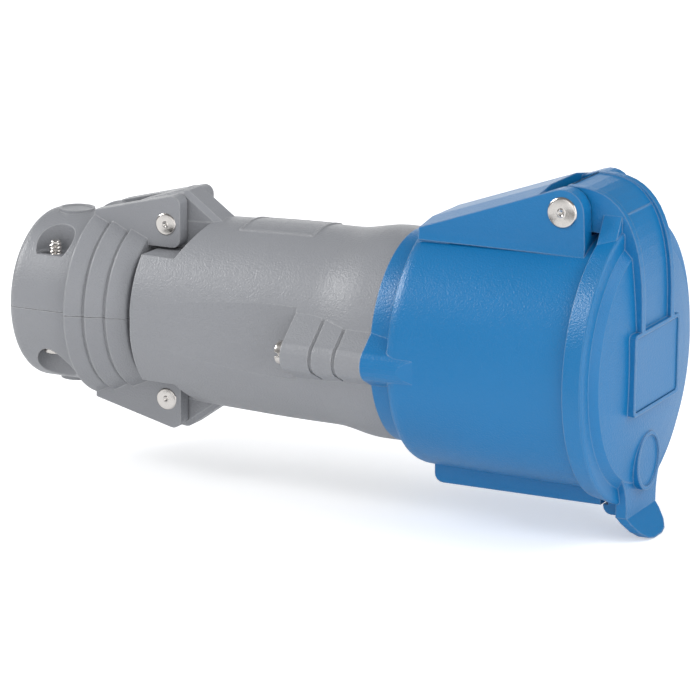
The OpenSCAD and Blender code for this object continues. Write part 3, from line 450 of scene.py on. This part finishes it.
# Studio: a white paper floor under the socket, a softbox high on the left, large fills beside
# the camera and beside the lid, and a surround that is white to the camera and grey to the gloss.
floor_gap, floor_half = 0.0002, 4.0
floor_z = cad_low.z - floor_gap
floor_mesh = bpy.data.meshes.new("studio_floor")
floor_mesh.from_pydata([(-floor_half, -floor_half, floor_z), (floor_half, -floor_half, floor_z),
                        (floor_half, floor_half, floor_z), (-floor_half, floor_half, floor_z)],
                       [], [(0, 1, 2, 3)])
floor = bpy.data.objects.new("studio_floor", floor_mesh)
bpy.context.scene.collection.objects.link(floor)

PAPER_WHITE = (0.90, 0.90, 0.90)
glow_to_camera, glow_to_socket = 0.40, 0.12
paper = bpy.data.materials.new("studio_paper")
paper.use_nodes = True
tree = paper.node_tree
tree.nodes["Principled BSDF"].inputs["Base Color"].default_value = (*PAPER_WHITE, 1.0)
tree.nodes["Principled BSDF"].inputs["Roughness"].default_value = 0.9
bright = tree.nodes.new("ShaderNodeEmission")
bright.inputs["Strength"].default_value = glow_to_camera
faint = tree.nodes.new("ShaderNodeEmission")
faint.inputs["Strength"].default_value = glow_to_socket
seen = tree.nodes.new("ShaderNodeLightPath")
pick = tree.nodes.new("ShaderNodeMixShader")
tree.links.new(seen.outputs["Is Camera Ray"], pick.inputs[0])
tree.links.new(faint.outputs["Emission"], pick.inputs[1])
tree.links.new(bright.outputs["Emission"], pick.inputs[2])
add = tree.nodes.new("ShaderNodeAddShader")
tree.links.new(tree.nodes["Principled BSDF"].outputs["BSDF"], add.inputs[0])
tree.links.new(pick.outputs["Shader"], add.inputs[1])
tree.links.new(add.outputs["Shader"], tree.nodes["Material Output"].inputs["Surface"])
floor_mesh.materials.append(paper)

COOL_WHITE = (0.95, 0.97, 1.0)
surround_light, surround_in_gloss = 0.66, 0.28
world = bpy.data.worlds.new("studio_surround")
world.use_nodes = True
tree = world.node_tree
surround = tree.nodes["Background"]
surround.inputs["Color"].default_value = (*COOL_WHITE, 1.0)
surround.inputs["Strength"].default_value = surround_light
white = tree.nodes.new("ShaderNodeBackground")
white.inputs["Strength"].default_value = 1.0
dim = tree.nodes.new("ShaderNodeBackground")
dim.inputs["Strength"].default_value = surround_in_gloss
seen = tree.nodes.new("ShaderNodeLightPath")
gloss_pick = tree.nodes.new("ShaderNodeMixShader")
tree.links.new(seen.outputs["Is Glossy Ray"], gloss_pick.inputs[0])
tree.links.new(surround.outputs["Background"], gloss_pick.inputs[1])
tree.links.new(dim.outputs["Background"], gloss_pick.inputs[2])
pick = tree.nodes.new("ShaderNodeMixShader")
tree.links.new(seen.outputs["Is Camera Ray"], pick.inputs[0])
tree.links.new(gloss_pick.outputs["Shader"], pick.inputs[1])
tree.links.new(white.outputs["Background"], pick.inputs[2])
tree.links.new(pick.outputs["Shader"], tree.nodes["World Output"].inputs["Surface"])
bpy.context.scene.world = world

aim_x, aim_z = 91.8 * MM, -6.7 * MM
aim = Vector((aim_x, 0.0, aim_z))


def softbox(name, place, size, power):
    """A square area lamp at `place`, pointed at the middle of the socket."""
    lamp = bpy.data.lights.new(name, "AREA")
    lamp.size = size
    lamp.energy = power
    holder = bpy.data.objects.new(name, lamp)
    holder.location = place
    holder.rotation_mode = "QUATERNION"
    holder.rotation_quaternion = (aim - Vector(place)).to_track_quat("-Z", "Y")
    bpy.context.scene.collection.objects.link(holder)


softbox("left_key", place=(-0.78, -0.45, 0.72), size=0.28, power=4.0)
softbox("camera_fill", place=(0.25, -1.1, 0.15), size=0.9, power=3.2)
softbox("lid_side_fill", place=(1.05, -0.40, 0.25), size=0.8, power=3.0)
softbox("lid_top_fill", place=(0.75, 0.15, 0.85), size=0.7, power=3.4)


# Reflection cards: a pale one behind the socket whitens the roof of the fairing, a bright one
# far on the left makes the moulded grain sparkle, and three black ones that lie on the floor
# give the rivets' heads their dark side.
def reflection_card(name, centre, across, up, brightness):
    """A card that only reflections see: a plain emission of the given brightness, black at 0. It
    reaches from its centre by the vector `across` to each side and by `up` to its top and bottom."""
    centre, across, up = Vector(centre), Vector(across), Vector(up)
    mesh = bpy.data.meshes.new(name)
    mesh.from_pydata([centre - across - up, centre + across - up,
                      centre + across + up, centre - across + up], [], [(0, 1, 2, 3)])
    paint = bpy.data.materials.new(name)
    paint.use_nodes = True
    tree = paint.node_tree
    shine = tree.nodes.new("ShaderNodeEmission")
    shine.inputs["Strength"].default_value = brightness
    tree.links.new(shine.outputs["Emission"], tree.nodes["Material Output"].inputs["Surface"])
    mesh.materials.append(paint)
    card = bpy.data.objects.new(name, mesh)
    card.visible_camera = card.visible_diffuse = card.visible_shadow = False
    bpy.context.scene.collection.objects.link(card)


reflection_card("pale_card", centre=(-0.9, 1.2, 0.2), across=(0.7, 0.0, 0.0), up=(0.0, 0.0, 0.25),
                brightness=1.6)
sparkle_place, sparkle_half = Vector((-0.96, -0.10, 0.56)), 0.15
toward = (aim - sparkle_place).normalized()
level = toward.cross(Vector((0.0, 0.0, 1.0))).normalized()
reflection_card("sparkle_card", centre=sparkle_place, across=sparkle_half * level,
                up=sparkle_half * level.cross(toward), brightness=22.0)
card_z = floor_z + 2 * MM
for name, x, y, half in (("lid_rivet_card", 0.10, -0.41, 0.10),
                         ("upper_rivet_card", -0.02, -0.22, 0.05),
                         ("lower_rivet_card", 0.045, -0.13, 0.035)):
    reflection_card(name, centre=(x, y, card_z), across=(half, 0.0, 0.0), up=(0.0, half, 0.0),
                    brightness=0.0)


# Camera: the photograph's own viewpoint, worked out from the socket's outline in it. It looks
# at the middle of the socket from the near side, a little above and towards the lid.
azimuth, elevation, roll = math.radians(26.17), math.radians(14.03), math.radians(0.40)
distance = 975.0 * MM
back = Vector((math.sin(azimuth) * math.cos(elevation), -math.cos(azimuth) * math.cos(elevation),
               math.sin(elevation)))
camera_data = bpy.data.cameras.new("photo_camera")
camera_data.sensor_width = 36.0
camera_data.lens = 189.6
camera_data.clip_start, camera_data.clip_end = 0.05, 20.0
camera = bpy.data.objects.new("photo_camera", camera_data)
camera.location = aim + back * distance
camera.rotation_mode = "QUATERNION"
camera.rotation_quaternion = (back.to_track_quat("Z", "Y")
                              @ Matrix.Rotation(roll, 3, "Z").to_quaternion())
bpy.context.scene.collection.objects.link(camera)
bpy.context.scene.camera = camera
bpy.context.scene.view_settings.view_transform = "Standard"
